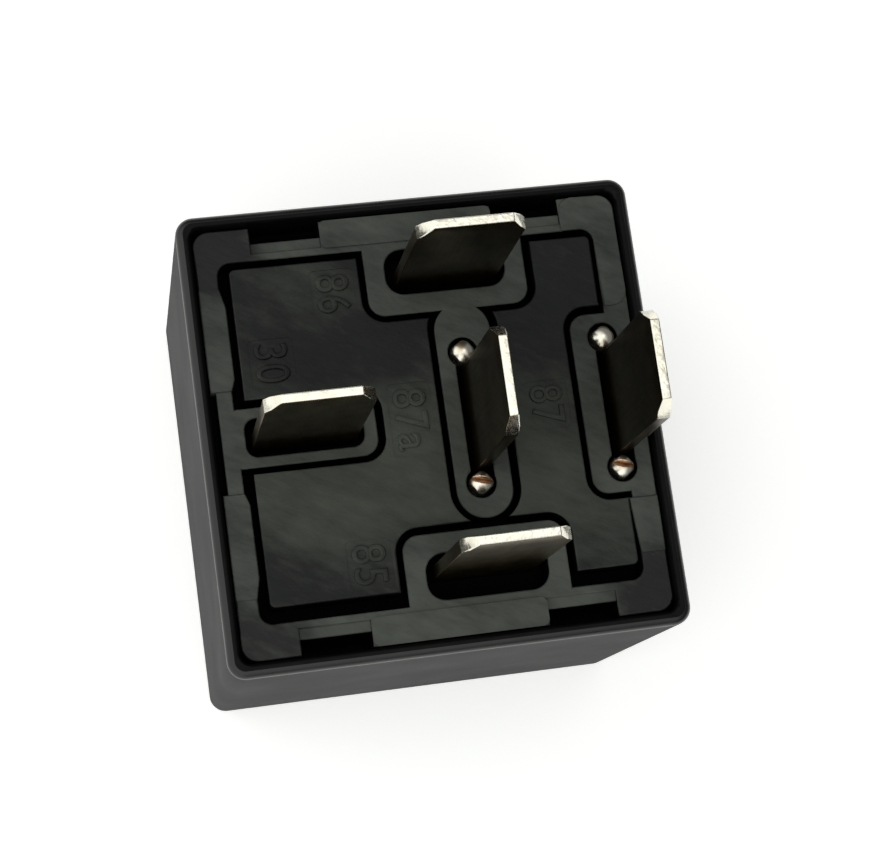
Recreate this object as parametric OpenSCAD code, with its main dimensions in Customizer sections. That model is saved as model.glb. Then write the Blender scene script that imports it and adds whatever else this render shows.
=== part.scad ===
// Five-blade changeover relay, standing on the closed end of its cover with the blades up.
// Origin: middle of the cover's closed face. +Z runs along the blades, +X towards terminal 87.

/* [Cover] */
// Side of the square cover
cover_w = 28; // [27.4:0.1:30]
// Height of the cover, closed face to rim
cover_h = 25.2; // [24.4:0.1:28]
// Side wall of the cover
cover_wall = 0.85; // [0.6:0.05:1]
// Closed end of the cover
cover_top = 1.2; // [0.8:0.1:2]
// Radius of the cover's upright corners
cover_corner = 1.1; // [0.9:0.1:2]
// Radius of the cavity's upright corners
cavity_corner = 0.6; // [0.3:0.1:0.9]
// Chamfer round the closed end
cover_chamfer = 0.5; // [0.2:0.1:0.7]
// Radius of the rim's rounded outer edge
rim_round = 0.5; // [0.2:0.05:0.6]
// How far a snap rib stands in from the wall
rib_out = 0.35; // [0.2:0.05:0.45]
// Lead-in chamfer inside the rim
rim_chamfer = 0.2; // [0.1:0.02:0.24]
// Length of a snap rib
rib_len = 3.4; // [2:0.2:4]
// Height of a snap rib
rib_h = 0.8; // [0.5:0.1:1.2]

/* [Base] */
// Gap between base and cover wall
base_gap = 0.1; // [0.05:0.01:0.2]
// How far the base's border lies below the cover's rim
base_recess = 0.4; // [0.1:0.05:0.8]
// Thickness of the base plate
base_t = 3.2; // [2.8:0.1:4]
// Radius of the base plate's corners
base_corner = 1; // [0.8:0.1:1.3]
// Height of the raised field above the border
field_rise = 0.32; // [0.1:0.02:0.38]
// Radius of the raised field's inner corners
field_corner = 0.35; // [0.1:0.05:0.5]
// Border left of the groove
border_left = 1.3; // [1.1:0.05:1.4]
// Border right of the groove
border_right = 1.55; // [1.3:0.05:1.7]
// Border along the two coil sides
border_coil = 2.08; // [1.9:0.05:2.2]
// Depth of the groove round the raised field
groove_depth = 2.1; // [1:0.1:2.2]
// Width of the groove round the collars
groove_w = 0.42; // [0.3:0.02:0.5]
// Width of the groove along the left border
groove_left = 0.65; // [0.5:0.05:0.8]
// Width of the groove along the right border
groove_right = 0.3; // [0.2:0.05:0.4]
// Width of the groove along the upper border
groove_upper = 0.5; // [0.3:0.05:0.6]
// Width of the groove along the lower border
groove_lower = 0.9; // [0.6:0.05:1]
// Height of the border pads
pad_rise = 0.12; // [0.05:0.01:0.2]
// Where the left pads start, from the middle
pad_start = 3.1; // [2.6:0.1:3.6]
// Where the left and lower right pads end, from the middle
pad_end = 9.4; // [8.8:0.1:10]
// Where the right pads start, from the middle
pad_right = 6; // [5.7:0.1:6.4]
// Depth of the recess in the left border
recess_depth = 0.8; // [0.4:0.1:1.2]
// Width of the recess in the left border
recess_w = 0.32; // [0.2:0.02:0.5]
// Depth of the flat panels that carry the terminal numbers
panel_depth = 0.04; // [0.03:0.01:0.1]
// Height of a number panel
panel_h = 2.7; // [2.4:0.1:3]
// Length of a number panel for each character
panel_pitch = 1.5; // [1.3:0.05:1.6]
// Distance of the edge notches from the middle
notch_x = 7.45; // [7:0.05:7.8]
// Width of an edge notch
notch_w = 4.25; // [3.8:0.05:4.6]
// Depth of an edge notch from the base's edge
notch_in = 0.95; // [0.7:0.05:1.1]
// Width of the step beside an edge notch
notch_step = 0.65; // [0.4:0.05:0.8]
// Drop of the step beside an edge notch
notch_drop = 0.18; // [0.1:0.02:0.3]
// How deep an edge notch goes
notch_deep = 2.2; // [1.6:0.1:2.4]

/* [Collars] */
// Land of a collar beside its pocket
collar_land = 1.25; // [1:0.05:1.4]
// Land of the collar round blade 30
collar_land_30 = 0.65; // [0.5:0.05:0.8]
// How much narrower collar 87a is on the left, and how much wider collar 87
collar_trim = 0.2; // [0:0.05:0.4]
// Land of collar 87a on the right
collar_right = 1.22; // [1:0.02:1.3]
// How far collar 87a reaches towards blade 86's collar
collar_up = 0.9; // [0.5:0.1:1.2]
// Corner radius of the collars
collar_corner = 1; // [0.6:0.05:1.3]
// Depth of a blade's pocket below the border
pocket_depth = 2.4; // [2:0.1:2.6]
// Edge of blade 30's pocket on the side of 85, from the middle
pocket_30_low = 1; // [0.8:0.05:1.2]
// Edge of blade 30's pocket on the side of 86, from the middle
pocket_30_high = 1.35; // [1.1:0.05:1.5]
// Corner radius of the coil blades' pockets
pocket_corner = 1.1; // [0.6:0.05:1.3]
// Room in a pocket past a blade's edges
pocket_end = 0.55; // [0.3:0.05:0.8]
// Room in a coil blade's pocket on the inner side
pocket_in = 0.6; // [0.4:0.05:0.7]
// Room in a coil blade's pocket on the outer side
pocket_out = 1.4; // [1:0.05:1.5]
// Room in a contact blade's pocket on the left
pocket_side = 0.4; // [0.2:0.05:0.5]
// Radius of the well round a rivet
rivet_well = 0.92; // [0.85:0.01:1]
// Depth of the well round a rivet
rivet_well_depth = 0.9; // [0.5:0.1:1.4]

/* [Blades] */
// Width of a blade
blade_w = 6.3; // [5.8:0.1:6.5]
// Thickness of a blade
blade_t = 0.8; // [0.7:0.05:0.9]
// Length of a blade above the base's border
blade_out = 11.5; // [9:0.1:13]
// Corner cut at a blade's tip, across the blade
tip_cut_w = 0.85; // [0.5:0.05:1.5]
// Corner cut at a blade's tip, along the blade
tip_cut_h = 1.5; // [0.8:0.1:2.5]
// Bevel on a blade's two faces at the tip
tip_bevel = 0.14; // [0.05:0.01:0.25]
// Middle of blade 30 from the base's left edge
blade_30_in = 5.3; // [5.1:0.05:5.5]
// Plane of blade 87 from the base's right edge
blade_87_in = 1.6; // [1.55:0.05:1.8]
// Middle of the coil blades from the core's axis
coil_blade_dx = 5.15; // [5:0.05:5.3]
// Plane of the coil blades from the bobbin's flange
coil_blade_out = 1.8; // [1.6:0.05:2]
// Gap between the yoke's end and blade 87a's foot
yoke_end_gap = 0.23; // [0.2:0.01:0.3]
// Clearance of a blade in its slot
slot_clear = 0.03; // [0.02:0.01:0.06]

/* [Rivets] */
// Radius of a contact rivet's shank
rivet_r = 0.55; // [0.45:0.05:0.6]
// Radius of a contact rivet's upset head
rivet_head_r = 0.72; // [0.65:0.01:0.8]
// Height of the upset head above the border
rivet_head_up = 0.45; // [0.2:0.05:0.6]
// Distance of the rivets from a blade's middle
rivet_y = 4.05; // [4:0.01:4.2]
// Offset of the rivets from a blade's plane
rivet_dx = -0.27; // [-0.35:0.01:-0.15]
// Flats that the punch leaves on a rivet's head, from its axis
rivet_flat = 0.6; // [0.58:0.01:0.64]
// Width of the chisel cut across the lower rivets
stake_w = 0.44; // [0.3:0.02:0.5]
// Depth of the chisel cut
stake_depth = 0.42; // [0.2:0.02:0.5]

/* [Contacts] */
// Gap between the closed face and the resting contact's carrier
floor_gap = 0.4; // [0.2:0.05:1]
// Travel of the moving contact
contact_travel = 0.87; // [0.5:0.01:1.1]
// Radius of the contacts
contact_r = 1.4; // [1.1:0.1:1.8]
// Height of each contact head
contact_h = 0.6; // [0.4:0.05:0.8]
// Clearance between closed contacts
contact_clear = 0.03; // [0.02:0.01:0.05]
// How far the contacts lie inside the plane of blade 87
contact_in = 1.9; // [1.6:0.1:2.4]
// Gap on either side of blade 87a's riser
riser_gap = 0.4; // [0.3:0.05:0.6]

/* [Magnet] */
// Thickness of the yoke
yoke_t = 1.5; // [1.2:0.1:1.6]
// Width of the yoke
yoke_w = 12; // [10:0.2:12.4]
// Gap between the yoke's long leg and the cover wall
yoke_gap = 1.25; // [1.1:0.05:1.5]
// Thickness of the armature
armature_t = 1.5; // [1.2:0.1:1.8]
// Width of the armature
armature_w = 11; // [9:0.2:12]
// Clearance between armature and magnet when closed
pole_clear = 0.02; // [0.01:0.01:0.04]
// Radius of the core
core_r = 3.25; // [2.8:0.05:3.4]
// Radius of the core's pole head
pole_r = 4.4; // [4:0.1:4.8]
// Thickness of the pole head
pole_t = 1; // [0.8:0.1:1.2]
// Radius of the core's staked tail
tail_r = 2.6; // [2:0.1:2.7]
// Side of the bobbin's flanges
flange_w = 14.4; // [13.6:0.1:14.6]
// Thickness of the bobbin's flanges
flange_t = 1.1; // [0.8:0.1:1.4]
// Wall of the bobbin's tube
tube_wall = 0.9; // [0.6:0.1:1.1]
// Radius over the winding
winding_r = 6.8; // [6:0.1:7]
// Diameter of the winding wire's ends
lead_d = 0.3; // [0.24:0.02:0.4]
// Turns of a wire end round its lug
lead_turns = 3; // [2:1:4]

/* [Spring] */
// Thickness of the contact spring
spring_t = 0.28; // [0.2:0.02:0.32]
// Width of the spring on the armature
spring_w = 9; // [7:0.2:10]
// Width of the spring at its contact end
spring_tip_w = 4.2; // [3.4:0.1:5]
// Bend radius of the spring at the hinge
spring_bend = 0.8; // [0.6:0.05:0.85]
// Length of the spring on the yoke
spring_leg = 7; // [5:0.5:9]
// Radius of the spring's rivets
spring_rivet_r = 0.75; // [0.5:0.05:0.9]

/* [Hidden] */
$fn = 48;
eps = 0.01;
// how far a raised part reaches into the plate below it, and how far a cut runs past a face
root = 0.2;
past = 1;

// cover and base levels
cover_half = cover_w / 2;
cavity_half = cover_half - cover_wall;
base_half = cavity_half - base_gap;
z_border = cover_h - base_recess;
z_under = z_border - base_t;
z_field = z_border + field_rise;
z_groove = z_border - groove_depth;
z_pocket = z_border - pocket_depth;
blade_tip = z_border + blade_out;

// outline of the sunk well inside the border
well_x0 = -base_half + border_left;
well_x1 = base_half - border_right;
well_y = base_half - border_coil;
well_corner = 0.8;
// how far a collar stops short of the base's edge
collar_edge = 0.5;
side_pad_in = 0.25;

// feet of the blades, under the plate
blade_half = blade_w / 2;
half_t = blade_t / 2;
foot_t = blade_t;
foot_gap = 0.1;
z_foot = z_under - foot_t;
ear_side = 0.95;
ear_end = rivet_y + 1.1;
shoulder = 0.6;
lug_w = 1.1;

// magnet, from the left wall inwards and from the base down
hinge_x = -cavity_half + yoke_gap;
z_yoke_in = z_foot - yoke_t;
z_flange = z_yoke_in - foot_gap;
flange_gap = 0.1;
flange_corner = 1;
core_clear = 0.05;
tail_up = 0.4;
tube_r = core_r + core_clear + tube_wall;
x_core = hinge_x + yoke_t + flange_gap + flange_w / 2;
yoke_end = x_core + core_r + 1.1;
armature_end = x_core + pole_r + 0.6;
lug_end = z_yoke_in - 2.6;

// planes and middles of the blades
x_30 = -base_half + blade_30_in;
x_coil = x_core + coil_blade_dx;
y_coil = flange_w / 2 + coil_blade_out;
x_87a = yoke_end + yoke_end_gap + ear_side - rivet_dx;
x_87 = base_half - blade_87_in;
foot_30_end = x_30 + 1.4;
riser_x = x_87 - half_t;
riser_y0 = ear_end + riser_gap;
riser_y1 = y_coil - half_t - riser_gap;

// contacts and armature, from the closed face up
x_contact = x_87 - contact_in;
stem_r = contact_r * 0.6;
carrier_edge = contact_r + 0.3;
z_nc = cover_top + floor_gap;
z_nc_face = z_nc + blade_t + contact_h;
z_moving = z_nc_face + contact_clear + contact_travel;
z_spring = z_moving + contact_h;
z_armature = z_spring + spring_t;
z_pole = z_armature + armature_t + pole_clear;
z_bobbin = z_pole + pole_t;
z_no_face = z_armature + contact_h + contact_clear;
z_no = z_no_face + contact_h;
open_angle = asin(contact_travel / (x_contact - hinge_x));

// rivets of the contact spring
spring_rivet_y = spring_w / 4;
spring_rivet_head = 0.4;
x_armature_rivet = hinge_x + 3.4;
z_yoke_rivet = z_pole + spring_leg - 1.6;
spring_tip = x_contact + contact_r + 0.4;

// outlines with round corners
module round_rect(x0, y0, x1, y1, r) {
    translate([x0 + r, y0]) square([x1 - x0 - 2 * r, y1 - y0]);
    translate([x0, y0 + r]) square([x1 - x0, y1 - y0 - 2 * r]);
    for (x = [x0 + r, x1 - r], y = [y0 + r, y1 - r])
        translate([x, y]) circle(r);
}

module round_square(half, r) {
    round_rect(-half, -half, half, half, r);
}

module block(x0, y0, z0, x1, y1, z1) {
    translate([x0, y0, z0]) cube([x1 - x0, y1 - y0, z1 - z0]);
}

// a solid whose side follows a profile round a square; the corners turn about their middles
module swept(half, r, h) {
    middle = half - r;
    translate([-middle, -middle, 0]) cube([2 * middle, 2 * middle, h]);
    for (x = [-middle, middle], y = [-middle, middle])
        translate([x, y, 0]) rotate_extrude() children();
    for (turn = [0:90:270])
        rotate([90, 0, turn]) linear_extrude(2 * middle, center = true)
            translate([middle, 0]) children();
}

// ---- cover: one moulded cup; four snap ribs catch under the base
module cover() {
    color([0.10, 0.10, 0.11])
    union() {
        difference() {
            swept(cover_half, cover_corner, cover_h) cover_profile();
            translate([0, 0, cover_top]) linear_extrude(cover_h)
                round_square(cavity_half, cavity_corner);
            translate([0, 0, cover_h - rim_chamfer])
                swept(cavity_half, cavity_corner, rim_chamfer + past) lead_in_profile();
        }
        for (side = [-1, 1], x = [-notch_x, notch_x])
            scale([1, side, 1]) snap_rib(x);
    }
}

// from a corner's middle outwards: chamfered at the closed face, rounded at the rim
module cover_profile() {
    polygon([[0, 0], [cover_corner - cover_chamfer, 0], [cover_corner, cover_chamfer],
        [cover_corner, cover_h - rim_round], [0, cover_h - rim_round]]);
    translate([0, cover_h - rim_round - eps]) square([cover_corner - rim_round, rim_round + eps]);
    intersection() {
        translate([cover_corner - rim_round, cover_h - rim_round]) circle(rim_round);
        square([cover_corner, cover_h]);
    }
}

module lead_in_profile() {
    polygon([[0, 0], [cavity_corner, 0], [cavity_corner + rim_chamfer, rim_chamfer],
        [cavity_corner + rim_chamfer, rim_chamfer + past], [0, rim_chamfer + past]]);
}

// a wedge: square below the base, sloping where the base slides past it
module snap_rib(x) {
    translate([x - rib_len / 2, 0, z_under - foot_gap - rib_h])
        rotate([90, 0, 90]) linear_extrude(rib_len)
            polygon([[cavity_half + eps, 0], [cavity_half - rib_out * 0.4, 0],
                [cavity_half - rib_out, rib_h * 0.5], [cavity_half - rib_out, rib_h],
                [cavity_half + eps, rib_h]]);
}

// ---- base: plate with a sunk well, a raised field, and collars round the blades
module collar_30(grow) {
    reach = collar_land_30 + grow;
    round_rect(-base_half + collar_edge, -pocket_30_low - reach,
        x_30 + blade_half + pocket_end + reach, pocket_30_high + reach, collar_corner + grow);
}

// collar of a coil blade, on the upper side; the lower one mirrors it
module collar_coil(grow) {
    reach = collar_land + grow;
    round_rect(x_coil - blade_half - pocket_end - reach, y_coil - half_t - pocket_in - reach,
        x_coil + blade_half + pocket_end + reach, base_half - collar_edge, collar_corner + grow);
}

module collar_87a(grow) {
    left = x_87a - half_t - pocket_side - collar_land + collar_trim - grow;
    right = x_87a + half_t + collar_right + grow;
    reach = rivet_y + rivet_well + collar_land;
    round_rect(left, -reach - grow, right, reach + collar_up + grow, (right - left) / 2 - eps);
}

module collar_87(grow) {
    reach = rivet_y + rivet_well + collar_land / 2;
    round_rect(x_87 - half_t - pocket_side - collar_land - collar_trim - grow, -reach - grow,
        base_half - collar_edge, reach + grow, collar_corner + grow);
}

module collars(grow) {
    collar_30(grow);
    for (side = [-1, 1])
        scale([1, side]) collar_coil(grow);
    collar_87a(grow);
    collar_87(grow);
}

module well() {
    round_rect(well_x0, -well_y, well_x1, well_y, well_corner);
}

module field() {
    difference() {
        round_rect(well_x0 + groove_left, -well_y + groove_lower, well_x1 - groove_right,
            well_y - groove_upper, field_corner);
        collars(groove_w);
    }
}

// pads that stand up from the border; the side ones also narrow the groove
module pads() {
    left = -base_half;
    right = well_x1 - side_pad_in;
    for (side = [-1, 1])
        scale([1, side]) {
            polygon([[left, pad_start], [left + border_left, pad_start],
                [left + border_left + side_pad_in, pad_start + 0.7],
                [left + border_left + side_pad_in, pad_end - 1.2], [left + border_left, pad_end],
                [left, pad_end]]);
            round_rect(-notch_x + notch_w / 2, well_y + 0.35, notch_x - notch_w / 2, base_half, 0.4);
        }
    polygon([[base_half, -pad_right], [right, -pad_right], [well_x1, -pad_end],
        [base_half, -pad_end]]);
    difference() {
        round_rect(notch_x + notch_w / 2, pad_right, base_half, base_half, base_corner);
        well();
    }
}

module blade_slot(x, y, turn) {
    half = blade_half + slot_clear;
    side = half_t + slot_clear;
    translate([x, y, 0]) rotate(turn)
        block(-half, -side, z_under - past, half, side, z_field + past);
}

// pocket of a contact blade, with a round well at each rivet
module contact_pocket(x) {
    translate([0, 0, z_pocket]) linear_extrude(pocket_depth + past)
        round_rect(x - half_t - pocket_side, -rivet_y, x + half_t + pocket_side / 2, rivet_y, 0.3);
    for (side = [-1, 1])
        translate([x + rivet_dx, side * rivet_y, 0]) {
            translate([0, 0, z_border - rivet_well_depth])
                cylinder(r = rivet_well, h = rivet_well_depth + past);
            translate([0, 0, z_under - past]) cylinder(r = rivet_r, h = base_t + 2 * past);
        }
}

module coil_pocket() {
    round_rect(x_coil - blade_half - pocket_end, y_coil - half_t - pocket_in,
        x_coil + blade_half + pocket_end, y_coil + half_t + pocket_out, pocket_corner);
}

module base() {
    color([0.17, 0.18, 0.18])
    difference() {
        union() {
            difference() {
                translate([0, 0, z_under]) linear_extrude(base_t)
                    round_square(base_half, base_corner);
                translate([0, 0, z_groove]) linear_extrude(base_t) well();
            }
            translate([0, 0, z_groove - root]) {
                linear_extrude(z_field - z_groove + root) field();
                linear_extrude(groove_depth + root) collars(0);
                linear_extrude(groove_depth + pad_rise + root) pads();
            }
            yoke_guides();
        }
        edge_notches();
        block(-cover_w, -pad_start, z_border - recess_depth, -base_half + recess_w, pad_start,
            cover_h + past);
        number_panels();
        translate([0, 0, z_pocket]) linear_extrude(pocket_depth + past) {
            round_rect(x_30 - blade_half - pocket_side, -pocket_30_low,
                x_30 + blade_half + pocket_side, pocket_30_high, 0.7);
            for (side = [-1, 1])
                scale([1, side]) coil_pocket();
        }
        contact_pocket(x_87a);
        contact_pocket(x_87);
        blade_slot(x_30, 0, 0);
        blade_slot(x_coil, y_coil, 0);
        blade_slot(x_coil, -y_coil, 0);
        blade_slot(x_87a, 0, 90);
        blade_slot(x_87, 0, 90);
    }
}

module edge_notches() {
    for (side = [-1, 1], x = [-notch_x, notch_x])
        scale([1, side, 1]) {
            block(x - notch_w / 2, base_half - notch_in, z_border - notch_deep,
                x + notch_w / 2, cover_w, cover_h + past);
            block(x - notch_w / 2, base_half - notch_in - notch_step, z_border - notch_drop,
                x + notch_w / 2, cover_w, cover_h + past);
        }
}

// shallow panels that the terminal numbers stand in
module number_panels() {
    number_panel(x_30 - 1.45, 4.5, 2);
    number_panel(x_coil - 7.05, y_coil - 0.6, 2);
    number_panel(x_coil - 7, -y_coil + 0.8, 2);
    number_panel(x_87a - 4, 0.2, 3);
    number_panel(x_87 - 4.4, 0.2, 2);
}

module number_panel(x, y, characters) {
    half = characters * panel_pitch / 2;
    translate([x, y, z_field - panel_depth]) linear_extrude(past)
        round_rect(-panel_h / 2, -half, panel_h / 2, half, 0.3);
}

// two walls under the plate that hold the yoke's short leg sideways
module yoke_guides() {
    for (side = [-1, 1])
        scale([1, side, 1])
            block(x_core - 5, yoke_w / 2 + 0.05, z_yoke_in + 0.2, x_core + 3, yoke_w / 2 + 1.05,
                z_under + root);
}

// ---- blades: brass strip, corners cut and faces bevelled at the tip
module blade(z0) {
    len = blade_tip - z0;
    bevel_from = len - 0.9;
    translate([0, 0, z0])
    intersection() {
        rotate([90, 0, 0]) linear_extrude(2 * blade_t, center = true)
            polygon([[-blade_half, 0], [blade_half, 0], [blade_half, len - tip_cut_h],
                [blade_half - tip_cut_w, len], [-blade_half + tip_cut_w, len],
                [-blade_half, len - tip_cut_h]]);
        rotate([90, 0, 90]) linear_extrude(2 * blade_w, center = true)
            polygon([[-half_t, -past], [half_t, -past], [half_t, bevel_from],
                [half_t - tip_bevel, len], [-half_t + tip_bevel, len], [-half_t, bevel_from]]);
    }
}

// blade 30: its foot, bent to one side, is riveted on the yoke's short leg
module terminal_30() {
    color([0.80, 0.78, 0.72])
    difference() {
        union() {
            translate([x_30, 0, 0]) blade(z_foot);
            block(x_30 - blade_half, -half_t, z_foot, foot_30_end, yoke_w / 2 - 0.4,
                z_under - foot_gap / 2);
        }
        block(foot_30_end, -blade_t, z_foot - past, x_30 + blade_w, blade_t, z_under);
        foot_rivets_30(rivet_r, z_foot - past, z_under + past);
    }
}

module foot_rivets_30(r, z0, z1) {
    for (x = [x_30 - 1.8, x_30 + 0.2])
        translate([x, yoke_w / 2 - 2.2, z0]) cylinder(r = r, h = z1 - z0);
}

module terminal_30_rivets() {
    color([0.72, 0.45, 0.32]) foot_rivets_30(rivet_r, z_yoke_in, z_under - eps);
}

// coil blades: a shoulder stops them under the plate, a narrow lug takes the winding's end
module coil_terminal(side) {
    color([0.80, 0.78, 0.72])
    translate([x_coil, side * y_coil, 0])
    union() {
        blade(z_foot);
        block(-blade_half - shoulder, -half_t, z_foot - shoulder, blade_half + shoulder, half_t,
            z_under);
        block(-lug_w / 2, -half_t, lug_end, lug_w / 2, half_t, z_foot);
    }
}

module terminal_85() { coil_terminal(-1); }
module terminal_86() { coil_terminal(1); }

// blade 87 runs straight down to the working contact's carrier; its ears take the rivets
module terminal_87() {
    color([0.80, 0.78, 0.72])
    difference() {
        union() {
            translate([x_87, 0, 0]) rotate(90) blade(z_no);
            block(x_contact - carrier_edge, -blade_half, z_no, x_87 + half_t, blade_half,
                z_no + blade_t);
            block(x_87 - ear_side + rivet_dx, -ear_end, z_foot, x_87 + half_t, ear_end, z_under);
        }
        contact_rivet_holes(x_87);
        translate([x_contact, 0, z_no_face]) cylinder(r = stem_r, h = contact_h + blade_t + past);
    }
}

// blade 87a: its foot runs past blade 87 to a riser and the resting contact's carrier
module terminal_87a() {
    carrier_x1 = x_contact + carrier_edge;
    color([0.80, 0.78, 0.72])
    difference() {
        union() {
            translate([x_87a, 0, 0]) rotate(90) blade(z_foot);
            block(x_87a - ear_side + rivet_dx, -ear_end, z_foot, x_87a + ear_side, riser_y1, z_under);
            block(x_87a, riser_y0, z_foot, riser_x + blade_t, riser_y1, z_under);
            block(riser_x, riser_y0, z_nc, riser_x + blade_t, riser_y1, z_under);
            block(x_contact - carrier_edge, -carrier_edge, z_nc, carrier_x1, riser_y1,
                z_nc + blade_t);
            block(x_contact, riser_y0, z_nc, riser_x + blade_t, riser_y1, z_nc + blade_t);
        }
        contact_rivet_holes(x_87a);
        translate([x_contact, 0, z_nc - past]) cylinder(r = stem_r, h = blade_t + 2 * past);
    }
}

module contact_rivet_holes(x) {
    for (side = [-1, 1])
        translate([x + rivet_dx, side * rivet_y, z_foot - past])
            cylinder(r = rivet_r, h = foot_t + 2 * past);
}

// ---- contact rivets: flat head under the foot, punched head in its well; the lower one is split
module contact_rivets(x) {
    color([0.78, 0.74, 0.68])
    for (side = [-1, 1])
        translate([x + rivet_dx, side * rivet_y, 0])
        difference() {
            rotate_extrude() rivet_profile();
            for (turn = [0:90:270])
                rotate(turn + 35)
                    block(rivet_flat, -rivet_head_r, z_border - rivet_well_depth + eps,
                        2 * rivet_head_r, rivet_head_r, z_border + past);
            if (side < 0)
                translate([0, rivet_head_r / 6, z_border + rivet_head_up]) rotate([90, 0, 75])
                    linear_extrude(4 * rivet_head_r, center = true)
                        polygon([[-stake_w / 2, eps], [stake_w / 2, eps], [0, -stake_depth]]);
        }
}

module rivet_profile() {
    dome = 0.5;
    head_r = rivet_head_r + 0.15;
    top = z_border + rivet_head_up;
    seat = z_border - rivet_well_depth;
    under = z_foot - 0.35;
    polygon(concat(
        [[0, under], [head_r, under], [head_r, z_foot], [rivet_r, z_foot], [rivet_r, seat],
            [rivet_head_r, seat]],
        [for (a = [0:15:75]) [rivet_head_r * cos(a), top - dome + dome * sin(a)]],
        [[0, top]]));
}

module rivets_87() { contact_rivets(x_87); }
module rivets_87a() { contact_rivets(x_87a); }

// ---- yoke: bent strip, long leg at the wall, short leg under the base
module yoke() {
    color([0.62, 0.63, 0.66])
    difference() {
        rotate([90, 0, 0]) linear_extrude(yoke_w, center = true)
            difference() {
                union() {
                    translate([hinge_x, z_pole]) square([yoke_t, z_foot - z_pole]);
                    translate([hinge_x, z_yoke_in]) square([yoke_end - hinge_x, yoke_t]);
                }
                difference() {
                    translate([hinge_x - eps, z_yoke_in + eps]) square(yoke_t);
                    translate([hinge_x + yoke_t, z_yoke_in]) circle(yoke_t);
                }
            }
        translate([x_core, 0, z_yoke_in - past]) cylinder(r = tail_r, h = yoke_t + 2 * past);
        foot_rivets_30(rivet_r, z_yoke_in - past, z_foot + past);
        spring_rivet_holes();
    }
}

module spring_rivet_holes() {
    for (side = [-1, 1])
        translate([hinge_x - past, side * spring_rivet_y, z_yoke_rivet])
            rotate([0, 90, 0]) cylinder(r = spring_rivet_r, h = yoke_t + 2 * past);
}

// ---- core: pole head towards the armature, tail staked over the yoke
module core() {
    edge = 0.2;
    color([0.62, 0.63, 0.66])
    translate([x_core, 0, 0]) rotate_extrude()
        polygon([[0, z_pole], [pole_r - edge, z_pole], [pole_r, z_pole + edge],
            [pole_r, z_bobbin], [core_r, z_bobbin], [core_r, z_yoke_in], [tail_r, z_yoke_in],
            [tail_r, z_foot], [tail_r + edge, z_foot], [tail_r, z_foot + tail_up],
            [0, z_foot + tail_up]]);
}

// ---- bobbin: tube on the core with two square flanges
module bobbin() {
    color([0.85, 0.83, 0.76])
    translate([x_core, 0, z_bobbin])
    difference() {
        union() {
            for (z = [0, z_flange - z_bobbin - flange_t])
                translate([0, 0, z]) linear_extrude(flange_t)
                    round_square(flange_w / 2, flange_corner);
            cylinder(r = tube_r, h = z_flange - z_bobbin);
        }
        translate([0, 0, -past]) cylinder(r = core_r + core_clear, h = z_flange);
    }
}

module coil_winding() {
    color([0.72, 0.38, 0.22])
    translate([x_core, 0, z_bobbin + flange_t])
        difference() {
            cylinder(r = winding_r, h = z_flange - z_bobbin - 2 * flange_t);
            translate([0, 0, -past]) cylinder(r = tube_r, h = z_flange);
        }
}

// ---- winding ends: straight run under the flange, then turns round the blade's lug
module coil_lead(side) {
    lead_r = lead_d / 2;
    turn_r = norm([lug_w, blade_t]) / 2 + lead_r + 2 * eps;
    pitch = lead_d * 1.2;
    z0 = z_flange - flange_t - 0.4;
    start = [x_coil, sqrt(pow(winding_r + lead_r + eps, 2) - pow(x_coil - x_core, 2)), z0];
    finish = [x_coil, y_coil - turn_r, z0 - lead_r];
    color([0.72, 0.38, 0.22])
    scale([1, side, 1])
    union() {
        translate(start) sphere(lead_r);
        rod(start, finish, lead_r);
        for (i = [0:lead_turns - 1])
            translate([x_coil, y_coil, finish[2] - i * pitch])
                rotate_extrude() translate([turn_r, 0]) circle(lead_r);
        translate([x_coil + turn_r, y_coil, finish[2] - (lead_turns - 1) * pitch])
            cylinder(r = lead_r / 2, h = (lead_turns - 1) * pitch);
    }
}

module rod(a, b, r) {
    v = b - a;
    translate(a) rotate([0, acos(v[2] / norm(v)), atan2(v[1], v[0])]) cylinder(r = r, h = norm(v));
}

module coil_lead_85() { coil_lead(-1); }
module coil_lead_86() { coil_lead(1); }

// ---- moving parts: drawn closed, then opened about the outer edge of the yoke's long leg
module at_rest() {
    translate([hinge_x, 0, z_pole]) rotate([0, open_angle, 0]) translate([-hinge_x, 0, -z_pole])
        children();
}

function opened(x, z) = [
    hinge_x + (x - hinge_x) * cos(open_angle) + (z - z_pole) * sin(open_angle),
    z_pole - (x - hinge_x) * sin(open_angle) + (z - z_pole) * cos(open_angle)
];

module armature() {
    half = armature_w / 2;
    nose = half - 2.4;
    taper_x = armature_end - 3;
    groove = 0.5;
    color([0.62, 0.63, 0.66])
    at_rest()
    difference() {
        translate([0, 0, z_armature]) linear_extrude(armature_t)
            polygon([[hinge_x, -half], [taper_x, -half], [armature_end, -nose],
                [armature_end, nose], [taper_x, half], [hinge_x, half]]);
        translate([hinge_x, 0, z_armature]) rotate([0, 45, 0])
            cube([groove, 2 * armature_w, groove], center = true);
        armature_rivet_shanks(z_armature - past, z_armature + armature_t + past);
    }
}

module armature_rivet_shanks(z0, z1) {
    for (side = [-1, 1])
        translate([x_armature_rivet, side * spring_rivet_y, z0])
            cylinder(r = spring_rivet_r, h = z1 - z0);
}

module armature_rivets() {
    color([0.62, 0.63, 0.66])
    at_rest()
    union() {
        armature_rivet_shanks(z_spring - spring_rivet_head, z_armature + armature_t - root / 2);
        for (side = [-1, 1])
            translate([x_armature_rivet, side * spring_rivet_y, z_spring - spring_rivet_head])
                cylinder(r = spring_rivet_r + spring_rivet_head, h = spring_rivet_head);
    }
}

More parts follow.
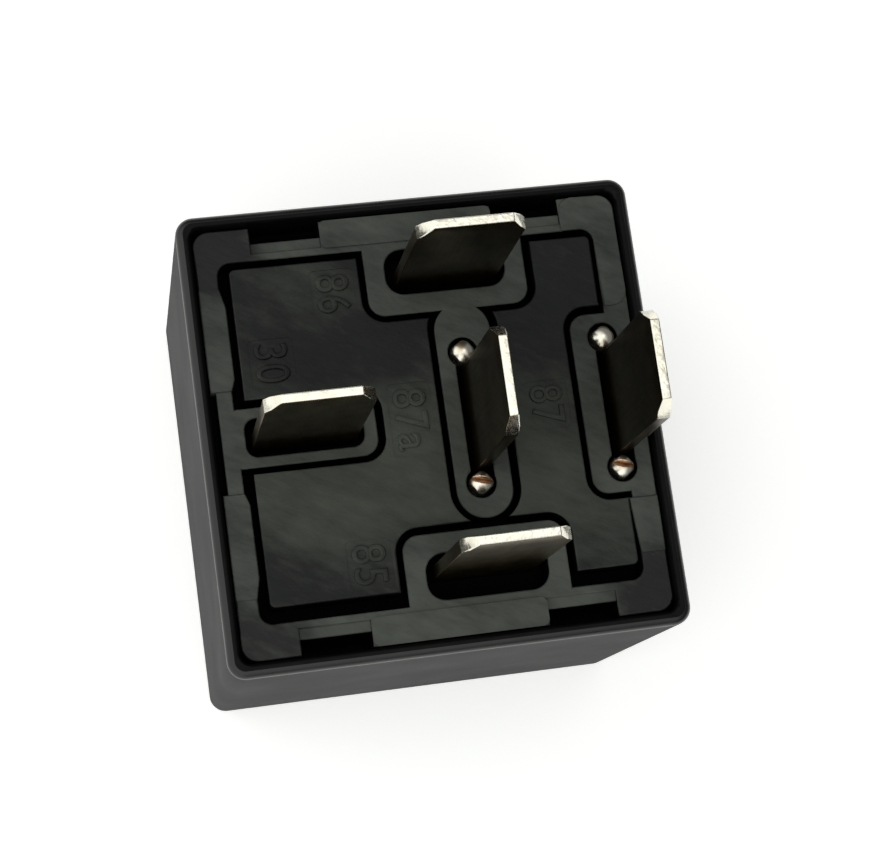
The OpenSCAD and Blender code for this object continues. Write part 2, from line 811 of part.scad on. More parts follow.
// contact spring: flat under the armature, a free bend past the hinge, flat on the yoke
module contact_spring() {
    slot_half = spring_w / 5;
    color([0.75, 0.56, 0.33])
    difference() {
        intersection() {
            rotate([90, 0, 0]) linear_extrude(spring_w, center = true) polygon(spring_profile());
            linear_extrude(cover_h) spring_plan();
        }
        block(-cover_w, -slot_half, 0, hinge_x + past, slot_half, z_pole + spring_leg * 0.43);
        at_rest() {
            armature_rivet_shanks(z_spring - past, z_armature + past);
            translate([x_contact, 0, z_spring - past]) cylinder(r = stem_r, h = 3 * past);
        }
        spring_rivet_holes();
    }
}

module spring_plan() {
    half = spring_w / 2;
    end = spring_tip_w / 2;
    x_wide = x_core + 1;
    x_narrow = x_core + 5.5;
    polygon([[-cover_w, -half], [x_wide, -half], [x_narrow, -end], [spring_tip - end, -end],
        [spring_tip - end, end], [x_narrow, end], [x_wide, half], [-cover_w, half]]);
    translate([spring_tip - end, 0]) circle(end);
}

// centre line of the free bend, and its direction
function bend_point(t, p) =
    pow(1 - t, 3) * p[0] + 3 * t * pow(1 - t, 2) * p[1] + 3 * t * t * (1 - t) * p[2]
    + pow(t, 3) * p[3];
function bend_dir(t, p) =
    3 * pow(1 - t, 2) * (p[1] - p[0]) + 6 * t * (1 - t) * (p[2] - p[1])
    + 3 * t * t * (p[3] - p[2]);
function side_of(v) = [-v[1], v[0]] / norm(v);

function spring_profile() =
    let (
        z_mid = z_spring + spring_t / 2,
        x_leg = hinge_x - spring_t / 2,
        p = [opened(hinge_x + spring_bend / 2, z_mid), opened(hinge_x - 2 * spring_bend, z_mid),
            [x_leg, z_pole - spring_bend], [x_leg, z_pole + 2 * spring_bend]],
        steps = [for (i = [0:14]) i / 14],
        left = [for (t = steps) bend_point(t, p) + side_of(bend_dir(t, p)) * spring_t / 2],
        right = [for (i = [14:-1:0])
            bend_point(steps[i], p) - side_of(bend_dir(steps[i], p)) * spring_t / 2]
    )
    concat([opened(spring_tip, z_spring)], left, [[x_leg - spring_t / 2, z_pole + spring_leg],
        [x_leg + spring_t / 2, z_pole + spring_leg]], right,
        [opened(spring_tip, z_spring + spring_t)]);

module yoke_rivets() {
    color([0.62, 0.63, 0.66])
    for (side = [-1, 1])
        translate([hinge_x - spring_t - spring_rivet_head, side * spring_rivet_y, z_yoke_rivet])
            rotate([0, 90, 0]) {
                cylinder(r = spring_rivet_r + spring_rivet_head, h = spring_rivet_head);
                cylinder(r = spring_rivet_r, h = spring_rivet_head + spring_t + yoke_t);
            }
}

// ---- contacts: silver rivets; the fixed ones are slightly domed
module moving_contact() {
    color([0.82, 0.82, 0.80])
    at_rest()
    translate([x_contact, 0, 0]) {
        translate([0, 0, z_moving]) cylinder(r = contact_r, h = contact_h);
        translate([0, 0, z_moving]) cylinder(r = stem_r, h = 2 * contact_h + spring_t);
        translate([0, 0, z_armature]) cylinder(r = contact_r, h = contact_h);
    }
}

// a contact that points up, its head on the carrier's face at z_seat
module fixed_contact(z_seat) {
    color([0.82, 0.82, 0.80])
    translate([x_contact, 0, z_seat]) rotate_extrude()
        polygon([[0, -blade_t], [stem_r, -blade_t], [stem_r, 0], [contact_r, 0],
            [contact_r, contact_h - 0.15], [contact_r / 2, contact_h - 0.03], [0, contact_h]]);
}

module contact_nc() { fixed_contact(z_nc + blade_t); }

module contact_no() {
    translate([0, 0, 2 * z_no]) scale([1, 1, -1]) fixed_contact(z_no);
}

cover();
base();
terminal_30();
terminal_85();
terminal_86();
terminal_87();
terminal_87a();
rivets_87();
rivets_87a();
terminal_30_rivets();
yoke();
core();
bobbin();
coil_winding();
coil_lead_85();
coil_lead_86();
armature();
contact_spring();
armature_rivets();
yoke_rivets();
moving_contact();
contact_no();
contact_nc();
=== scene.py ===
import math
import bmesh
import bpy
from mathutils import Matrix, Vector


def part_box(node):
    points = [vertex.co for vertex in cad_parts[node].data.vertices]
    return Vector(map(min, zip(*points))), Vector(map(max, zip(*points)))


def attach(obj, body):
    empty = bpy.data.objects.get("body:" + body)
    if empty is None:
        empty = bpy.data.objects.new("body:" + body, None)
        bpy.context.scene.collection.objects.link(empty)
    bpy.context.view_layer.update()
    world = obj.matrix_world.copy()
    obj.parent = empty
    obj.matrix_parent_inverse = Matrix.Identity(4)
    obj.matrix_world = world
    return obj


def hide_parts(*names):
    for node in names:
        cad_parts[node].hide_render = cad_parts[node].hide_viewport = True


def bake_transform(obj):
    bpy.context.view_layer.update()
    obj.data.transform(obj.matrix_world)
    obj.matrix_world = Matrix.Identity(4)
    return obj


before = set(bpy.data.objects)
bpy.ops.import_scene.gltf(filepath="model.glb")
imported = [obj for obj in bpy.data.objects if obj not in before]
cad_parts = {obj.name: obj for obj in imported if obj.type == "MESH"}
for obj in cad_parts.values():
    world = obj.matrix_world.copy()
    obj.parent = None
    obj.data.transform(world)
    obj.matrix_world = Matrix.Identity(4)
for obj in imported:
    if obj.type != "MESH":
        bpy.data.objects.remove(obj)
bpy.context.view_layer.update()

# ---- Camera
# It looks down on the blades, a little from the side of blade 30 and blade 85.
camera_data = bpy.data.cameras.new("camera")
camera_data.lens = 91.7
camera_data.clip_start = 0.01
camera = bpy.data.objects.new("camera", camera_data)
camera.location = (-0.0219, -0.0247, 0.1575)
camera.rotation_euler = [math.radians(angle) for angle in (11.506, -8.175, -7.981)]
bpy.context.collection.objects.link(camera)
bpy.context.scene.camera = camera
bpy.context.scene.view_settings.view_transform = "Standard"


# ---- Studio
# A large pale table in a room that is bright above and on the near left, and dim on the far
# right. A small soft lamp hangs where the flat tips of the blades mirror it.
def colour(code):
    """The linear colour of an sRGB hex code."""
    parts = [int(code[i:i + 2], 16) / 255 for i in (1, 3, 5)]
    return [p / 12.92 if p <= 0.04045 else ((p + 0.055) / 1.055) ** 2.4 for p in parts] + [1]


def add_node(tree, kind, settings=None, links=None):
    """Adds a node, sets its properties and input values, and links its inputs."""
    node = tree.nodes.new(kind)
    for key, value in (settings or {}).items():
        if isinstance(key, str) and hasattr(node, key):
            setattr(node, key, value)
        else:
            node.inputs[key].default_value = value
    for key, socket in (links or {}).items():
        tree.links.new(socket, node.inputs[key])
    return node


def seen(tree):
    """1 for what the eye, a gloss or a glass sees, and 0 for the light that falls on things."""
    path = add_node(tree, "ShaderNodeLightPath")
    gloss = add_node(tree, "ShaderNodeMath", {"operation": "MAXIMUM"},
                     {0: path.outputs["Is Camera Ray"], 1: path.outputs["Is Glossy Ray"]})
    return add_node(tree, "ShaderNodeMath", {"operation": "MAXIMUM"},
                    {0: gloss.outputs[0], 1: path.outputs["Is Transmission Ray"]}).outputs[0]


bright_side = Vector((-0.66, -0.28, 0.70)).normalized()
world = bpy.data.worlds.new("soft_room")
world.use_nodes = True
tree = world.node_tree
tree.nodes.clear()
place = add_node(tree, "ShaderNodeTexCoord")
nearness = add_node(tree, "ShaderNodeVectorMath", {"operation": "DOT_PRODUCT", 1: bright_side},
                    {0: place.outputs["Generated"]})
room = add_node(tree, "ShaderNodeMapRange",
                {"interpolation_type": "SMOOTHSTEP", "From Min": 0.15, "From Max": 0.75,
                 "To Min": 0.16, "To Max": 1.3},
                {"Value": nearness.outputs["Value"]})
background = add_node(tree, "ShaderNodeBackground", {"Color": colour("#fbfdfa")},
                      {"Strength": room.outputs["Result"]})
add_node(tree, "ShaderNodeOutputWorld", links={"Surface": background.outputs[0]})
bpy.context.scene.world = world

lamp_data = bpy.data.lights.new("overhead_softbox", "AREA")
lamp_data.shape = "DISK"
lamp_data.size = 0.13
lamp_data.energy = 0.05
lamp_data.color = (1.0, 0.985, 0.93)
lamp = bpy.data.objects.new("overhead_softbox", lamp_data)
lamp.location = (0.085, 0.086, 0.456)
lamp.rotation_euler = (lamp.location - Vector((0, 0, 0.036))).to_track_quat("Z", "Y").to_euler()
bpy.context.collection.objects.link(lamp)

table_half = 4.0
table_drop = 0.00002
bm = bmesh.new()
bmesh.ops.create_grid(bm, x_segments=1, y_segments=1, size=table_half,
                      matrix=Matrix.Translation((0, 0, -table_drop)))
table_mesh = bpy.data.meshes.new("table")
bm.to_mesh(table_mesh)
bm.free()
table = bpy.data.objects.new("table", table_mesh)
bpy.context.collection.objects.link(table)
table_paper = bpy.data.materials.new("white_paper_sweep")
table_paper.use_nodes = True
tree = table_paper.node_tree
tree.nodes.clear()
matte = add_node(tree, "ShaderNodeBsdfDiffuse", {"Color": colour("#f4f4f2")})
glow = add_node(tree, "ShaderNodeEmission", {"Color": colour("#ffffff")})
strength = add_node(tree, "ShaderNodeMath", {"operation": "MULTIPLY", 1: 0.45}, {0: seen(tree)})
tree.links.new(strength.outputs[0], glow.inputs["Strength"])
both = add_node(tree, "ShaderNodeAddShader", links={0: matte.outputs[0], 1: glow.outputs[0]})
add_node(tree, "ShaderNodeOutputMaterial", links={"Surface": both.outputs[0]})
table_mesh.materials.append(table_paper)


# ---- Cover
# One cup, injection moulded in black PBT. Its cavity was spark-eroded, which leaves a fine satin
# grain on the outer walls; the rounded rim and the inside came off polished steel.
def principled(name, metal=0.0, specular=0.5):
    """A new material with an empty node tree but for a Principled shader, and that shader."""
    material = bpy.data.materials.new(name)
    material.use_nodes = True
    tree = material.node_tree
    tree.nodes.clear()
    shader = add_node(tree, "ShaderNodeBsdfPrincipled",
                      {"Metallic": metal, "Specular IOR Level": specular})
    add_node(tree, "ShaderNodeOutputMaterial", links={"Surface": shader.outputs[0]})
    return material, tree, shader


def noise(tree, size, stretch=(1, 1, 1), turn=(0, 0, 0), detail=3, roughness=0.5):
    """Noise whose cells measure size metres, stretched along axes that are turned by turn."""
    place = add_node(tree, "ShaderNodeTexCoord")
    turned = add_node(tree, "ShaderNodeMapping",
                      {"vector_type": "TEXTURE", "Scale": stretch,
                       "Rotation": [math.radians(a) for a in turn]},
                      {"Vector": place.outputs["Object"]})
    texture = add_node(tree, "ShaderNodeTexNoise",
                       {"Scale": 1 / size, "Detail": detail, "Roughness": roughness},
                       {"Vector": turned.outputs[0]})
    return texture.outputs["Fac"]


def spread(tree, value, low, high, start=0.3, end=0.7):
    """A value mapped from start..end to low..high."""
    return add_node(tree, "ShaderNodeMapRange",
                    {"From Min": start, "From Max": end, "To Min": low, "To Max": high},
                    {"Value": value}).outputs["Result"]


def blend_colours(tree, factor, first, second):
    """A mix of two hex colours."""
    mix = add_node(tree, "ShaderNodeMix", {"data_type": "RGBA"}, {0: factor})
    mix.inputs[6].default_value = colour(first)
    mix.inputs[7].default_value = colour(second)
    return mix.outputs[2]


def finish_surface(tree, shader, hue, gloss, bumps):
    """Links a colour and a roughness, and the bumps as (height, depth in metres) in layers."""
    tree.links.new(hue, shader.inputs["Base Color"])
    tree.links.new(gloss, shader.inputs["Roughness"])
    normal = None
    for height, depth in bumps:
        bump = add_node(tree, "ShaderNodeBump", {"Strength": 1.0, "Distance": depth},
                        {"Height": height})
        if normal:
            tree.links.new(normal, bump.inputs["Normal"])
        normal = bump.outputs[0]
    tree.links.new(normal, shader.inputs["Normal"])


def cad_copy(node):
    """The mesh of a CAD piece with its triangles joined into flat faces."""
    bm = bmesh.new()
    bm.from_mesh(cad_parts[node].data)
    bmesh.ops.remove_doubles(bm, verts=bm.verts, dist=1e-6)
    bmesh.ops.dissolve_limit(bm, angle_limit=math.radians(1), verts=bm.verts, edges=bm.edges)
    return bm


def reach(face, edge):
    """How far a face goes from the line of one of its edges."""
    start = edge.verts[0].co
    along = (edge.verts[1].co - start).normalized()
    return max((v.co - start).cross(along).length for v in face.verts)


def round_edges(bm, width, segments, low=0, high=1, sharp=35):
    """Rounds the outward edges that lie between two heights and have room for it."""
    edges = [e for e in bm.edges if e.is_convex and e.calc_face_angle(0) > math.radians(sharp)
             and all(low < v.co.z < high for v in e.verts)
             and all(reach(face, e) > 1.5 * width for face in e.link_faces)]
    bmesh.ops.bevel(bm, geom=edges, offset=width, offset_type="OFFSET", affect="EDGES",
                    segments=segments, profile=0.5, material=-1, clamp_overlap=False)


def make_piece(name, bm, materials, body="housing", sharp=30):
    """An object from bm that rides on a body if one is given, smooth but for sharp edges."""
    mesh = bpy.data.meshes.new(name)
    bm.to_mesh(mesh)
    bm.free()
    mesh.shade_smooth()
    mesh.set_sharp_from_angle(angle=math.radians(sharp))
    for material in materials:
        mesh.materials.append(material)
    piece = bpy.data.objects.new(name, mesh)
    bpy.context.collection.objects.link(piece)
    flats = piece.modifiers.new("flat_faces_stay_flat", "WEIGHTED_NORMAL")
    flats.weight = 100
    flats.keep_sharp = True
    if body:
        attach(piece, body)
    return piece


# black PBT is a neutral near-black, and the grain breaks its gloss up to a soft satin
cover_pbt, tree, shader = principled("spark_eroded_black_pbt", specular=0.08)
# handling leaves it a little lighter and duller in broad clouds
cloud = noise(tree, 0.007, detail=2)
# the grain is about 0.05 mm; it is drawn at 0.14 mm so that it shows
grain = noise(tree, 0.00014)
finish_surface(tree, shader,
               blend_colours(tree, spread(tree, cloud, 0, 1), "#29282a", "#302f31"),
               spread(tree, cloud, 0.56, 0.64), [(grain, 0.000008)])

# the rounded rim has no grain, so it mirrors the room faintly; its colour is painted near black,
# darker than the walls, which is painted shade
rim_pbt_painted_shade, tree, shader = principled("polished_black_pbt_painted_shade", specular=0.5)
finish_surface(tree, shader, blend_colours(tree, noise(tree, 0.002), "#080808", "#0d0d0d"),
               spread(tree, noise(tree, 0.001), 0.26, 0.34), [(noise(tree, 0.0006), 0.000004)])

# the cavity gets no light, and it and the flat top of the rim are painted near black: painted
# shade. The release agent left on the cavity takes its gloss away
cavity_pbt_painted_shade, tree, shader = principled("cavity_black_pbt_painted_shade", specular=0.12)
finish_surface(tree, shader, blend_colours(tree, noise(tree, 0.002), "#040404", "#080808"),
               spread(tree, noise(tree, 0.001), 0.42, 0.55), [(noise(tree, 0.0006), 0.000004)])

cover_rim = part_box("cover")[1][2]
cavity_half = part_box("base")[1][0] + 0.0001
rim_round = 0.0005
rim_flat = 0.00001
lead_in = 0.0002
closed_end = 0.001
closed_end_round = 0.00015
bm = cad_copy("cover")
round_edges(bm, closed_end_round, 3, -closed_end, closed_end)
# faces inside the cup and on the rim's flat top get the painted shade, and the rim's rounded band
# is painted darker than the walls too
for face in bm.faces:
    middle = face.calc_center_median()
    inside = max(abs(middle.x), abs(middle.y)) < cavity_half + lead_in
    if middle.z > closed_end and inside or middle.z > cover_rim - rim_flat:
        face.material_index = 2
    elif middle.z > cover_rim - rim_round:
        face.material_index = 1
cover = make_piece("cover_shell", bm, [cover_pbt, rim_pbt_painted_shade, cavity_pbt_painted_shade])
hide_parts("cover")


# ---- Base
# A plate moulded in black glass-filled nylon, with a raised field, collars round the blades and
# pads on its border. Its glass fibre shows as grey clouds, drawn out where the melt ran.
def patch(tree, middle, size):
    """1 in an oval patch of the plate's face that fades to 0 at its edge."""
    place = add_node(tree, "ShaderNodeTexCoord")
    oval = add_node(tree, "ShaderNodeMapping",
                    {"vector_type": "TEXTURE", "Location": (middle[0], middle[1], 0),
                     "Scale": (size[0], size[1], 1)}, {"Vector": place.outputs["Object"]})
    radius = add_node(tree, "ShaderNodeVectorMath", {"operation": "LENGTH"},
                      {0: oval.outputs[0]})
    return add_node(tree, "ShaderNodeMapRange",
                    {"interpolation_type": "SMOOTHSTEP", "From Min": 1.1, "From Max": 0.3},
                    {"Value": radius.outputs["Value"]}).outputs["Result"]


def nylon(name, dark, light, plain, patches, rough, specular):
    """A black nylon: plain is its lightness between two colours where it has no patch."""
    material, tree, shader = principled(name, specular=specular)
    clouds = noise(tree, 0.0045, stretch=(2, 1, 1), turn=(0, 0, -28), detail=3, roughness=0.6)
    lightness = spread(tree, clouds, plain - 0.3, plain + 0.3, 0.35, 0.65)
    for middle, size, change in patches:
        lightness = add_node(tree, "ShaderNodeMath", {"operation": "MULTIPLY_ADD", 1: change},
                             {0: patch(tree, middle, size), 2: lightness}).outputs[0]
    streaks = noise(tree, 0.0005, stretch=(3, 1, 1), turn=(0, 0, -28), detail=4, roughness=0.7)
    lightness = add_node(tree, "ShaderNodeMath", {"operation": "ADD"},
                         {0: lightness, 1: spread(tree, streaks, -0.2, 0.2)}).outputs[0]
    finish_surface(tree, shader, blend_colours(tree, lightness, dark, light),
                   spread(tree, streaks, rough - 0.05, rough + 0.05),
                   [(streaks, 0.000025), (noise(tree, 0.0002, detail=2), 0.000006)])
    return material


# the field is painted lighter in a band across its lower half and darker in two patches towards
# its top, which stands in for the room's reflection: painted reflection
field_nylon_painted_reflection = nylon("glass_filled_black_nylon_painted_reflection", "#0b0d0e", "#43473f", 0.14,
                    [((-0.001, -0.003), (0.020, 0.006), 0.6),
                     ((-0.002, 0.005), (0.005, 0.003), -0.3),
                     ((0.008, 0.008), (0.006, 0.006), -0.25)], 0.5, 0.25)
# the border and the collars are painted lighter grey than the field, standing in for the light a
# rougher finish catches: painted light. They are lighter still along the bottom edge, painted
# light too, and darker at three corners
border_nylon_painted_light = nylon("black_nylon_painted_lighter", "#0e100f", "#4b4f49", 0.62,
                     [((-0.004, -0.012), (0.017, 0.007), 0.3),
                      ((-0.0125, 0.0125), (0.0045, 0.0045), -0.9),
                      ((-0.0125, -0.0125), (0.0055, 0.0045), -0.9),
                      ((0.0125, -0.0125), (0.0045, 0.0045), -0.9)], 0.5, 0.3)
# the grooves, the pockets and all that lies well below the border are painted near black: painted
# shade
deep_nylon = nylon("shaded_black_nylon", "#020202", "#050505", 0.5, [], 0.7, 0.04)

base_recess = 0.0004
base_border = cover_rim - base_recess
base_round = 0.0001
lowest_round = 0.00025
painted_shade_depth = 0.0003
painted_light_band_top = 0.00015
bm = cad_copy("base")
round_edges(bm, base_round, 3, base_border - lowest_round, cover_rim)
# faces well below the border get painted shade, faces near the border's height the border's
# painted light, and the higher faces the field
for face in bm.faces:
    height = face.calc_center_median().z - base_border
    if height < -painted_shade_depth:
        face.material_index = 2
    elif height < painted_light_band_top:
        face.material_index = 1
base = make_piece("base_plate", bm, [field_nylon_painted_reflection, border_nylon_painted_light, deep_nylon])
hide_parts("base")

# ---- Terminal numbers
# Plain numbers stand up in shallow panels of the field, cut into the mould with a small cutter
# that left their strokes round.
number_height = 0.00205
number_pitch = 0.00135
number_gap = 0.0003
number_rise = 0.00016
number_round = 0.00007
panel_depth = 0.00004
panel_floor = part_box("base")[1][2] - panel_depth


def number(name, words, x, y):
    """A raised number whose figures have their tops towards +X."""
    curve = bpy.data.curves.new(name, "FONT")
    curve.body = words
    curve.size = 0.0028
    curve.space_character = 1.1
    curve.extrude = number_rise / 2
    curve.bevel_depth = number_round
    curve.bevel_resolution = 2
    curve.offset = -number_round / 2
    holder = bpy.data.objects.new(name, curve)
    figures = bpy.data.meshes.new_from_object(holder)
    bm = bmesh.new()
    bm.from_mesh(figures)
    bmesh.ops.remove_doubles(bm, verts=bm.verts, dist=1e-7)
    low = Vector([min(v.co[i] for v in bm.verts) for i in range(3)])
    high = Vector([max(v.co[i] for v in bm.verts) for i in range(3)])
    wide = number_pitch * len(words) - number_gap
    bmesh.ops.translate(bm, verts=bm.verts, vec=-(low + high) / 2)
    bmesh.ops.scale(bm, verts=bm.verts, vec=(wide / (high.x - low.x),
                                             number_height / (high.y - low.y), 1))
    bmesh.ops.recalc_face_normals(bm, faces=bm.faces)
    bmesh.ops.transform(bm, verts=bm.verts, matrix=Matrix.Translation((x, y, panel_floor))
                        @ Matrix.Rotation(math.radians(-90), 4, "Z"))
    piece = make_piece(name, bm, [field_nylon_painted_reflection], sharp=50)
    bpy.data.objects.remove(holder)
    bpy.data.meshes.remove(figures)


def tip_middle(node):
    """The middle of a blade's tip, seen from above."""
    places = [v.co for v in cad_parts[node].data.vertices]
    top = max(p.z for p in places)
    flat = [p for p in places if p.z > top - 0.0001]
    return sum((p.xy for p in flat), Vector((0, 0))) / len(flat)


for words, offset in (("30", (-0.00145, 0.0045)), ("86", (-0.00705, -0.0006)),
                      ("85", (-0.0070, 0.0008)), ("87a", (-0.0040, 0.0002)),
                      ("87", (-0.0044, 0.0002))):
    number("number_" + words, words, *(tip_middle("terminal_" + words) + Vector(offset)))


# ---- Blades
# Brass strip, stamped to shape with its tips coined, then tin plated. The tips were rubbed bright
# in the socket. All faces that do not face upwards, the broad faces and the sides, are painted
# dark brown: painted shade, with some brown tarnish.
def tinned(name, clean, dull, rough, burr):
    """Tin plate between a clean and a dull colour, with rolling lines and shear marks."""
    material, tree, shader = principled(name, metal=1.0)
    tarnish = noise(tree, 0.0013, detail=4, roughness=0.6)
    lines = noise(tree, 0.00016, stretch=(1, 1, 30), detail=3)
    shear = noise(tree, 0.00028, turn=(0, 0, 40), detail=1)
    finish_surface(tree, shader,
                   blend_colours(tree, spread(tree, tarnish, 0, 1, 0.35, 0.7), clean, dull),
                   spread(tree, lines, rough - 0.04, rough + 0.04),
                   [(lines, 0.000003), (shear, burr)])
    return material


rubbed_tin = tinned("tin_rubbed_bright", "#f4f1e4", "#e4dfcd", 0.28, 0.00002)
tin_painted_shade = tinned("tin_with_brown_tarnish_and_painted_shade", "#5e523a", "#382e1f", 0.32, 0.000004)
# what faces upwards by this much takes the tip's bright tin; all other faces take the dark tin,
# which is painted shade
tip_slope = 0.3
blade_round = 0.00006
for words in ("30", "85", "86", "87", "87a"):
    bm = cad_copy("terminal_" + words)
    for face in bm.faces:
        if face.normal.z < tip_slope:
            face.material_index = 1
    round_edges(bm, blade_round, 3)
    blade = make_piece("blade_" + words, bm, [rubbed_tin, tin_painted_shade])
    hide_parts("terminal_" + words)

# ---- Contact rivets
# Tinned copper rivets whose ends were upset in the base's wells with a square punch. A chisel cut
# spreads the lower pair, and bare copper shows in it.
rivet_tin, tree, shader = principled("tinned_copper_rivet", metal=1.0)
wear = noise(tree, 0.0005, detail=4)
finish_surface(tree, shader,
               blend_colours(tree, spread(tree, wear, 0, 1, 0.45, 0.75), "#f4f0e2", "#dcc6a8"),
               spread(tree, wear, 0.26, 0.36), [(noise(tree, 0.0003), 0.000003)])
bare_copper, tree, shader = principled("bare_copper_in_the_cut", metal=1.0)
stain = noise(tree, 0.0004, detail=4)
finish_surface(tree, shader, blend_colours(tree, spread(tree, stain, 0, 1), "#b98a66", "#6e4527"),
               spread(tree, stain, 0.3, 0.42), [(stain, 0.000006)])
cut_depth = 0.00045
smallest_flank = 1.5e-7
rivet_round = 0.00004
for name in ("rivets_87", "rivets_87a"):
    bm = cad_copy(name)
    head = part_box(name)[1][2]
    for face in bm.faces:
        middle = face.calc_center_median()
        slanted = 0.05 < face.normal.z < 0.95 and face.normal.y < 0
        near_cut = middle.z > head - cut_depth and middle.y < 0
        if slanted and near_cut and face.calc_area() > smallest_flank:
            face.material_index = 1
    round_edges(bm, rivet_round, 2, low=base_border, sharp=40)
    rivets = make_piece("contact_" + name, bm, [rivet_tin, bare_copper], sharp=40)
    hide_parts(name)

# ---- Rivets of blade 30
# Two copper rivets go through the foot of blade 30 and the yoke, and carry the current.
copper, tree, shader = principled("drawn_copper", metal=1.0)
stain = noise(tree, 0.0008, detail=4)
finish_surface(tree, shader, blend_colours(tree, spread(tree, stain, 0, 1), "#cf8b5f", "#a9623f"),
               spread(tree, stain, 0.25, 0.38), [(noise(tree, 0.0002), 0.000006)])
bm = cad_copy("terminal_30_rivets")
rivets = make_piece("foot_rivets_30", bm, [copper])
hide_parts("terminal_30_rivets")

# ---- Magnet
# Yoke, core and armature of soft iron, stamped or turned, then flashed with zinc against rust.
# The armature rocks on the edge of the yoke's long leg.
iron, tree, shader = principled("zinc_flashed_soft_iron", metal=1.0)
mottle = noise(tree, 0.0012, detail=4)
finish_surface(tree, shader,
               blend_colours(tree, spread(tree, mottle, 0, 1), "#a9abb0", "#c4c5c6"),
               spread(tree, mottle, 0.3, 0.42),
               [(noise(tree, 0.0002, stretch=(1, 20, 1)), 0.000008)])
iron_round = 0.00008
for name, body in (("yoke", "housing"), ("core", "housing"), ("yoke_rivets", "housing"),
                   ("armature", "armature_unit"), ("armature_rivets", "armature_unit")):
    bm = cad_copy(name)
    round_edges(bm, iron_round, 2, sharp=50)
    piece = make_piece(name + "_iron", bm, [iron], body=body)
    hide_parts(name)

# ---- Bobbin
# Moulded in natural glass-filled nylon, so it is cream coloured and a little cloudy.
bobbin_nylon, tree, shader = principled("natural_glass_filled_nylon", specular=0.4)
cloud = noise(tree, 0.004, detail=3)
finish_surface(tree, shader, blend_colours(tree, spread(tree, cloud, 0, 1), "#d8d3c3", "#c9c3b0"),
               spread(tree, cloud, 0.42, 0.55), [(noise(tree, 0.0003), 0.00001)])
flange_round = 0.00015
bm = cad_copy("bobbin")
round_edges(bm, flange_round, 3, sharp=50)
bobbin = make_piece("bobbin_body", bm, [bobbin_nylon])
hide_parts("bobbin")

# ---- Winding
# Enamelled copper wire. Only the outer layer is drawn turn by turn, with wire of 0.3 mm so that
# the turns show; it lies on the solid of the layers below.
enamel, tree, shader = principled("red_enamelled_copper", metal=1.0)
shader.inputs["Coat Weight"].default_value = 0.8
shader.inputs["Coat Roughness"].default_value = 0.15
tint = noise(tree, 0.0015, detail=3)
finish_surface(tree, shader, blend_colours(tree, spread(tree, tint, 0, 1), "#b5562c", "#93401f"),
               spread(tree, tint, 0.3, 0.4), [(noise(tree, 0.0003), 0.000004)])
wire = 0.0003
wind_low, wind_high = (Vector(corner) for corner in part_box("coil_winding"))
axis = (wind_low + wind_high) / 2
wind_radius = (wind_high.x - wind_low.x) / 2
turns = int((wind_high.z - wind_low.z) / wire)
pitch = (wind_high.z - wind_low.z - wire) / turns
steps = 60
skin = 0.0001
bm = cad_copy("coil_winding")
outer = [v for v in bm.verts if (v.co - axis).xy.length > wind_radius - skin]
bmesh.ops.scale(bm, verts=outer, vec=(1 - wire / 2 / wind_radius,) * 2 + (1,),
                space=Matrix.Translation(-axis))
ring = bmesh.ops.create_circle(
    bm, segments=8, radius=wire / 2,
    matrix=Matrix.Translation((axis.x + wind_radius - wire / 2, axis.y, wind_low.z + wire / 2))
    @ Matrix.Rotation(math.radians(90), 4, "X"))
edges = list({e for v in ring["verts"] for e in v.link_edges})
bmesh.ops.spin(bm, geom=ring["verts"] + edges, cent=axis, axis=(0, 0, 1),
               dvec=(0, 0, pitch / steps), angle=math.tau * turns, steps=steps * turns)
bmesh.ops.recalc_face_normals(bm, faces=bm.faces)
winding = make_piece("winding_turns", bm, [enamel], sharp=60)
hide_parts("coil_winding")

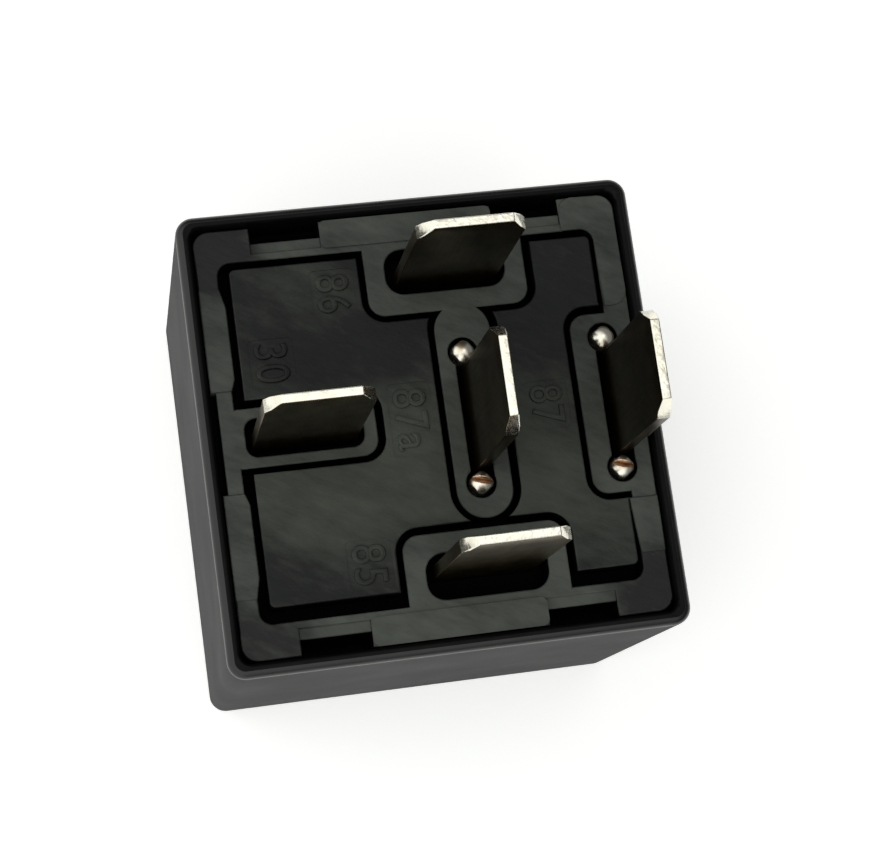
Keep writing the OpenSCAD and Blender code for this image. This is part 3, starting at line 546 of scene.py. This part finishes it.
# ---- Winding ends
# The two ends of the wire run out to the lugs of blades 85 and 86, three turns round each lug,
# and are soldered there.
lug_turns = 2.9
lug_pitch = 1.15
lug_steps = 36
for words, side in (("85", -1), ("86", 1)):
    low, high = (Vector(corner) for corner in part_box("coil_lead_" + words))
    lug = tip_middle("terminal_" + words)
    turn_radius = (high.x - low.x) / 2 - wire / 2
    start = min((low.y, high.y), key=abs)
    top = high.z - wire / 2
    bm = bmesh.new()
    ring = bmesh.ops.create_circle(
        bm, cap_ends=True, segments=12, radius=wire / 2,
        matrix=Matrix.Translation((lug.x + turn_radius, start + side * wire / 2, top))
        @ Matrix.Rotation(math.radians(90), 4, "X"))
    run = bmesh.ops.extrude_face_region(bm, geom=bm.faces[:])
    end = [v for v in run["geom"] if isinstance(v, bmesh.types.BMVert)]
    bmesh.ops.translate(bm, verts=end, vec=(0, lug.y - start - side * wire / 2, 0))
    face = [f for f in run["geom"] if isinstance(f, bmesh.types.BMFace)]
    bmesh.ops.spin(bm, geom=face, cent=(lug.x, lug.y, 0), axis=(0, 0, side),
                   dvec=(0, 0, -wire * lug_pitch / lug_steps), angle=math.tau * lug_turns,
                   steps=int(lug_turns * lug_steps))
    bmesh.ops.recalc_face_normals(bm, faces=bm.faces)
    lead = make_piece("wire_end_" + words, bm, [enamel], sharp=50)
    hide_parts("coil_lead_" + words)

# ---- Contact spring
# Phosphor bronze strip, riveted to the yoke and to the armature. Its free bend at the hinge
# pulls the armature open, and it carries the moving contact.
bronze, tree, shader = principled("rolled_phosphor_bronze", metal=1.0)
heat = noise(tree, 0.003, detail=3)
rolled = noise(tree, 0.00015, stretch=(30, 1, 1), detail=3)
finish_surface(tree, shader, blend_colours(tree, spread(tree, heat, 0, 1), "#c99a5e", "#b58149"),
               spread(tree, rolled, 0.24, 0.34), [(rolled, 0.000003)])
spring = make_piece("contact_spring_strip", cad_copy("contact_spring"), [bronze], body=None)
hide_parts("contact_spring")
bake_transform(spring)

# ---- Contacts
# Silver-alloy rivets. The first arcs have left a grey bloom on the faces that meet.
silver, tree, shader = principled("silver_tin_oxide", metal=1.0)
bloom = noise(tree, 0.0007, detail=4, roughness=0.6)
finish_surface(tree, shader, blend_colours(tree, spread(tree, bloom, 0, 1), "#e4e3de", "#b9b7b0"),
               spread(tree, bloom, 0.25, 0.42), [(noise(tree, 0.00025), 0.00001)])
for name, body in (("moving_contact", "armature_unit"), ("contact_no", "housing"),
                   ("contact_nc", "housing")):
    piece = make_piece(name + "_silver", cad_copy(name), [silver], body=body)
    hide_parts(name)
